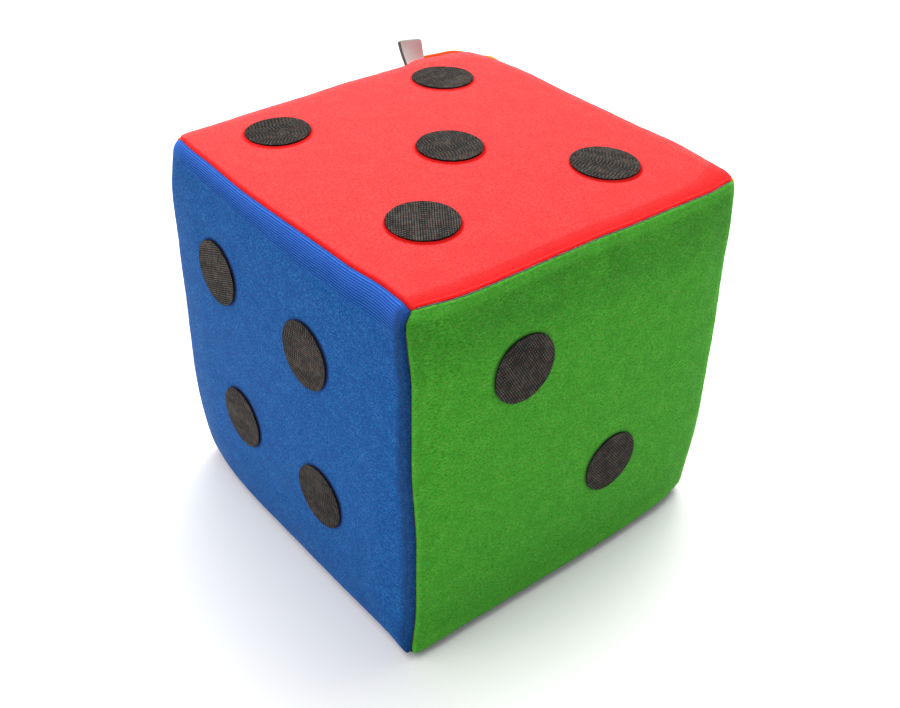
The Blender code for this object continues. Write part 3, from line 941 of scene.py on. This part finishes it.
def make_label():
    """A bare ribbon folded over, both ends in the seam between the top and back panels."""
    crest = HALF_EDGE - EDGE_BEND + LABEL_ROOT
    root = settle([(LABEL_ALONG_SEAM, crest, crest)])[0]
    line = label_line()
    middle = np.array([lean(*place) for place in line])
    run = np.gradient(middle, axis=0)
    out = np.column_stack((-run[:, 1], run[:, 0]))
    out /= np.linalg.norm(out, axis=1)[:, None]
    widths = np.linspace(-1, 1, 25)
    points = []
    weave = []
    for skin in (1, -1):
        for k, (y, z) in enumerate(middle):
            height = line[k][1]
            near_fold = smooth_step(np.array(height), LABEL_HEIGHT - FOLD_REACH, LABEL_HEIGHT)
            half = LABEL_WIDTH / 2 - FOLD_TAPER * near_fold**2
            twist = LABEL_TWIST * smooth_step(np.array(height), 0.0, LABEL_HEIGHT)
            for share in widths:
                ripple = LABEL_RIPPLE * math.sin(3.1 * share + 240 * height) * height / LABEL_HEIGHT
                offset = skin * LABEL_RIBBON / 2 + ripple * out[k, 0]
                x = share * half * math.cos(twist)
                back = y + out[k, 0] * offset - share * half * math.sin(twist)
                points.append((x, back, z + out[k, 1] * offset))
                weave.append((share * half / MM, k * 0.5, skin))
    rows = len(widths)
    count = len(middle)
    faces = grid_faces(count, rows)
    faces += [quad[::-1] for quad in grid_faces(count, rows, first=count * rows)]
    rim = grid_rim(count, rows)
    faces += ring_faces(rim, rim + count * rows)
    make_piece(
        "ribbon_label", root + np.array(points), faces, ribbon(), "cube", "sewn_label",
        {"ribbon": np.array(weave)},
    )


def ribbon():
    """White woven ribbon, with painted shade along one edge, where its back leg lies in shadow."""
    recipe = Recipe(bpy.data.materials.new("white_ribbon"))
    place = recipe.value("ribbon", vector=True)
    yarn = recipe.noise(recipe.stretched(place, (5.0, 1.0, 1.0)), 1.0, 2.0)
    # Its white is tinted cool, painted to cancel the red light that the top bounces onto it
    base = recipe.mix(recipe.spread(yarn, 0.3, 0.7), colour(212, 232, 230), colour(232, 248, 246))
    across = recipe.node("ShaderNodeSeparateXYZ", {0: place}).outputs["X"]
    base = recipe.mix(recipe.spread(across, *LABEL_SHADE_EDGE, 1.0, 0.0), base, colour(84, 90, 84))
    return recipe.finish(base, 0.55, recipe.bump(yarn, 0.3, 0.0001), Sheen_Weight=0.1)


# Materials


def colour(red, green, blue):
    """A linear colour with alpha, from levels of 0 to 255 as a picture has them."""
    levels = [level / 255 for level in (red, green, blue)]
    return (*[c / 12.92 if c <= 0.04045 else ((c + 0.055) / 1.055) ** 2.4 for c in levels], 1.0)


class Recipe:
    """The nodes of a material or of the world, with short calls that add and join them."""

    def __init__(self, owner):
        self.owner = owner
        owner.use_nodes = True
        self.tree = owner.node_tree
        self.tree.nodes.clear()

    def node(self, kind, inputs=None, **settings):
        made = self.tree.nodes.new(kind)
        for key, value in settings.items():
            setattr(made, key, value)
        for key, value in (inputs or {}).items():
            socket = made.inputs[key]
            if isinstance(value, bpy.types.NodeSocket):
                self.tree.links.new(value, socket)
            else:
                socket.default_value = value
        return made

    def math(self, operation, first, second=0.0):
        return self.node("ShaderNodeMath", {0: first, 1: second}, operation=operation).outputs[0]

    def value(self, label, vector=False):
        made = self.node("ShaderNodeAttribute", attribute_name=label)
        return made.outputs["Vector" if vector else "Fac"]

    def stretched(self, place, scale):
        """The place with its three directions scaled."""
        made = self.node("ShaderNodeVectorMath", {0: place, 1: scale}, operation="MULTIPLY")
        return made.outputs[0]

    def noise(self, place, size, detail=2.0, roughness=0.5):
        """Noise from 0 to 1 that changes over about the given size."""
        inputs = {"Vector": place, "Scale": 1 / size, "Detail": detail, "Roughness": roughness}
        return self.node("ShaderNodeTexNoise", inputs).outputs["Fac"]

    def spread(self, value, low, high, to_low=0.0, to_high=1.0):
        inputs = {"Value": value, "From Min": low, "From Max": high, "To Min": to_low, "To Max": to_high}
        return self.node("ShaderNodeMapRange", inputs).outputs[0]

    def mix(self, share, first, second, blend="MIX"):
        inputs = {0: share, 6: first, 7: second}
        return self.node("ShaderNodeMix", inputs, data_type="RGBA", blend_type=blend).outputs[2]

    def bump(self, height, strength, distance, below=None):
        inputs = {"Height": height, "Strength": strength, "Distance": distance}
        if below is not None:
            inputs["Normal"] = below
        return self.node("ShaderNodeBump", inputs).outputs[0]

    def finish(self, base, roughness, normal, **surface):
        """The shader: sheen and the like are given as numbers on its own sockets."""
        inputs = {"Base Color": base, "Roughness": roughness, "Normal": normal}
        inputs.update({key.replace("_", " "): value for key, value in surface.items()})
        shader = self.node("ShaderNodeBsdfPrincipled", inputs)
        self.node("ShaderNodeOutputMaterial", {"Surface": shader.outputs[0]})
        return self.owner


def loop_cloth(name):
    """Brushed loops over a knitted ground, whose ribs show where a bend opens the loops."""
    levels = CLOTH_COLOURS[name]
    pile, hollow, glint, speck, groove, rib_crest, rib_groove = (colour(*each) for each in levels)
    recipe = Recipe(bpy.data.materials.new(f"{name}_loop_cloth"))
    place = recipe.value("cloth", vector=True)
    combed = recipe.stretched(place, (0.62, 1.0, 1.0))
    cloud = recipe.noise(place, 6.0, 3.0)
    tufts = recipe.noise(combed, 0.8, 2.0, 0.6)
    loops = recipe.noise(combed, 0.36, 1.0)
    stray = recipe.noise(combed, 0.75, 1.0)

    # Mottled dye, which also paints shade into the tufts' hollows and a glint onto the highest loops, as
    # the bumps below have them
    felt = recipe.mix(recipe.spread(tufts, 0.35, 0.65), hollow, pile)
    felt = recipe.mix(recipe.spread(loops, 0.5, 0.72, 0.0, 0.75), felt, glint)
    specks = recipe.spread(stray, 0.56, 0.7, 0.0, SPECK_SHARES.get(name, 0.5))
    felt = recipe.mix(specks, felt, speck)
    felt = recipe.mix(recipe.spread(cloud, 0.35, 0.65, 0.0, 0.35), felt, hollow)

    parts = recipe.node("ShaderNodeSeparateXYZ", {0: place})
    wander = recipe.math("MULTIPLY", recipe.noise(place, 9.0, 1.0), 0.5)
    combed_place = recipe.math("ADD", parts.outputs["Y"], wander)
    phase = recipe.math("MULTIPLY", combed_place, 2 * math.pi * MM / RIB_PITCH)
    wave = recipe.spread(recipe.math("COSINE", phase), -1.0, 1.0)
    yarn = recipe.noise(recipe.stretched(place, (1.6, 0.5, 1.0)), 0.5, 1.0)
    looks = recipe.node("ShaderNodeSeparateXYZ", {0: recipe.value("looks", vector=True)})
    rib_share = looks.outputs["X"]
    # Painted shade in the grooves between the ribs
    groove_share = recipe.math("MULTIPLY", rib_share, recipe.spread(wave, 0.75, 0.1))
    felt = recipe.mix(recipe.math("MULTIPLY", groove_share, 0.8), felt, groove)
    between = recipe.spread(rib_share, 0.0, 1.0, 0.45, 0.0)
    opened = recipe.mix(recipe.math("ADD", groove_share, between), rib_crest, rib_groove)
    opened = recipe.mix(recipe.spread(yarn, 0.4, 0.75, 0.0, 0.35), opened, rib_groove)
    base = recipe.mix(looks.outputs["Y"], felt, opened)
    # The deepest painted shade is deepened and saturated further
    power = recipe.spread(looks.outputs["Z"], 0.25, 0.75, 1.0, DEEPENINGS.get(name, 1.0))
    base = recipe.node("ShaderNodeGamma", {"Color": base, "Gamma": power}).outputs[0]
    # Painted shade, and painted light below 0, multiply the colour
    dark = recipe.spread(looks.outputs["Z"], -1.0, 1.0, 2.0, 0.0)
    grey = recipe.node("ShaderNodeCombineXYZ", {0: dark, 1: dark, 2: dark}).outputs[0]
    base = recipe.mix(1.0, base, grey, "MULTIPLY")

    pile_height = recipe.math("ADD", recipe.math("MULTIPLY", tufts, 0.8), loops)
    rib_height = recipe.math("MULTIPLY", wave, rib_share)
    normal = recipe.bump(rib_height, 0.5, 0.0002)
    normal = recipe.bump(pile_height, 0.6, 0.0003, below=normal)
    return recipe.finish(
        base, 0.92, normal, Sheen_Weight=0.1, Sheen_Roughness=0.35, Specular_IOR_Level=0.08
    )


def make_panels():
    for number, (face, cloth) in enumerate(FACE_CLOTHS.items(), start=1):
        make_panel(face, number, loop_cloth(cloth))


# Stage


def place_camera():
    a = CAMERA_AZIMUTH
    e = CAMERA_ELEVATION
    back = Vector((math.sin(a) * math.cos(e), -math.cos(a) * math.cos(e), math.sin(e)))
    level = Vector((math.cos(a), math.sin(a), 0))
    upright = back.cross(level)
    right = math.cos(CAMERA_ROLL) * level + math.sin(CAMERA_ROLL) * upright
    up = -math.sin(CAMERA_ROLL) * level + math.cos(CAMERA_ROLL) * upright
    lens = bpy.data.cameras.new("camera")
    lens.lens = CAMERA_LENS
    lens.sensor_width = CAMERA_SENSOR
    lens.clip_start = 0.01
    lens.clip_end = 50
    camera = add_object("camera", lens)
    turn = Matrix((right, up, back)).transposed()
    middle = Vector((0, 0, HALF_EDGE))
    place = middle + CAMERA_DISTANCE * back + CAMERA_ASIDE * right + CAMERA_ABOVE * up
    camera.matrix_world = Matrix.Translation(place) @ turn.to_4x4()
    bpy.context.scene.camera = camera


def make_floor():
    """A wide white sheet, which keeps the cube's shadow."""
    recipe = Recipe(bpy.data.materials.new("white_floor"))
    white = (FLOOR_WHITE, FLOOR_WHITE, FLOOR_WHITE, 1)
    shader = recipe.node("ShaderNodeBsdfDiffuse", {"Color": white})
    glow = recipe.node("ShaderNodeEmission", {"Color": (1, 1, 1, 1), "Strength": FLOOR_GLOW})
    path = recipe.node("ShaderNodeLightPath")
    seen = recipe.math("MAXIMUM", path.outputs["Is Camera Ray"], path.outputs["Is Glossy Ray"])
    seen = recipe.math("MAXIMUM", seen, path.outputs["Is Transmission Ray"])
    none = recipe.node("ShaderNodeEmission", {"Strength": 0.0})
    only_seen = recipe.node("ShaderNodeMixShader", {0: seen, 1: none.outputs[0], 2: glow.outputs[0]})
    both = recipe.node("ShaderNodeAddShader", {0: shader.outputs[0], 1: only_seen.outputs[0]})
    recipe.node("ShaderNodeOutputMaterial", {"Surface": both.outputs[0]})
    mesh = bpy.data.meshes.new("floor")
    corners = [(FLOOR_REACH * x, FLOOR_REACH * y, 0) for x, y in ((-1, -1), (1, -1), (1, 1), (-1, 1))]
    mesh.from_pydata(corners, [], [(0, 1, 2, 3)])
    mesh.materials.append(recipe.owner)
    floor = add_object("floor", mesh)


def sky_lobe(recipe, direction, strength, tightness):
    """Light that comes mostly from one direction of the sky."""
    place = recipe.node("ShaderNodeTexCoord").outputs["Generated"]
    aim = Vector(direction).normalized()
    dot = recipe.node("ShaderNodeVectorMath", {0: place, 1: aim}, operation="DOT_PRODUCT")
    share = recipe.math("POWER", recipe.math("MAXIMUM", dot.outputs["Value"], 0.0), tightness)
    return recipe.math("MULTIPLY", share, strength)


def light_studio():
    """A sky of two soft lobes, overhead and from the left. The camera sees it white."""
    recipe = Recipe(bpy.data.worlds.new("studio"))
    overhead = sky_lobe(recipe, *OVERHEAD_LIGHT)
    side = sky_lobe(recipe, *SIDE_LIGHT)
    around = recipe.node("ShaderNodeBackground", {"Strength": recipe.math("ADD", overhead, side)})
    backdrop = recipe.node("ShaderNodeBackground", {"Strength": 1.0})
    path = recipe.node("ShaderNodeLightPath")
    seen = recipe.math("MAXIMUM", path.outputs["Is Camera Ray"], path.outputs["Is Transmission Ray"])
    inputs = {0: seen, 1: around.outputs[0], 2: backdrop.outputs[0]}
    choose = recipe.node("ShaderNodeMixShader", inputs)
    recipe.node("ShaderNodeOutputWorld", {"Surface": choose.outputs[0]})
    bpy.context.scene.world = recipe.owner


def main():
    bpy.context.scene.view_settings.view_transform = "Standard"
    place_camera()
    make_floor()
    light_studio()
    make_panels()
    make_foam()
    make_coins()
    make_threads()
    make_label()


main()
